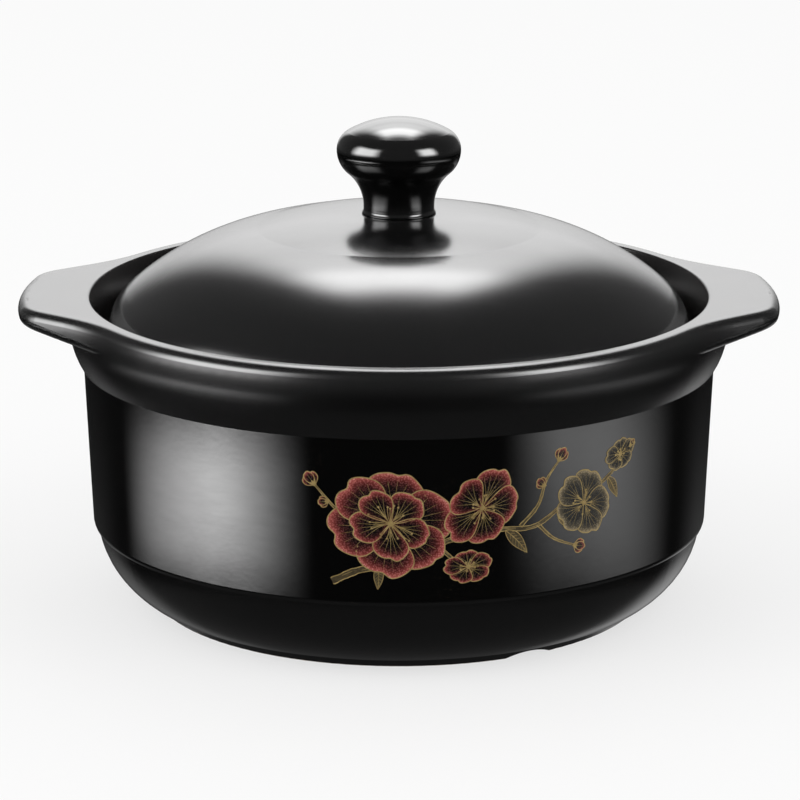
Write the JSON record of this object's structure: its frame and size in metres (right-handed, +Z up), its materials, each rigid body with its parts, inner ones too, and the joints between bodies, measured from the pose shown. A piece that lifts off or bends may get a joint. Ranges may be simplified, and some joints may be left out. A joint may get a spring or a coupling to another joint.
{
  "type": "clay cooking pot",
  "caption": "Round glazed clay cooking pot with flat ears, a domed lid that lifts off and a round screwed-on knob.",
  "frame": {"origin": "middle of the foot ring, on the surface the pot stands on", "axes": "+X along the two ears, +Z up along the pot's axis, -Y towards the decorated front"},
  "size_m": [0.3002, 0.2608, 0.1921],
  "materials": {
    "pot_glaze": "gloss black glaze with a printed flower spray on the front of the band",
    "lid_glaze": "gloss black glaze",
    "knob_glaze": "high gloss black glaze",
    "screw_steel": "turned stainless steel",
    "insert_brass": "turned brass",
    "seal_rubber": "matt grey silicone rubber"
  },
  "bodies": {
    "pot": {"pot_body": "pot_glaze"},
    "lid_and_knob": {"lid": "lid_glaze", "knob": "knob_glaze", "knob_insert": "insert_brass", "knob_gasket": "seal_rubber", "seal_washer": "seal_rubber", "screw_washer": "screw_steel", "lid_screw": "screw_steel"}
  },
  "joints": [
    {"name": "lid_lift", "type": "slide", "parent": "pot", "child": "lid_and_knob", "axis": [0, 0, 1], "range_m": [0, 0.15]}
  ]
}
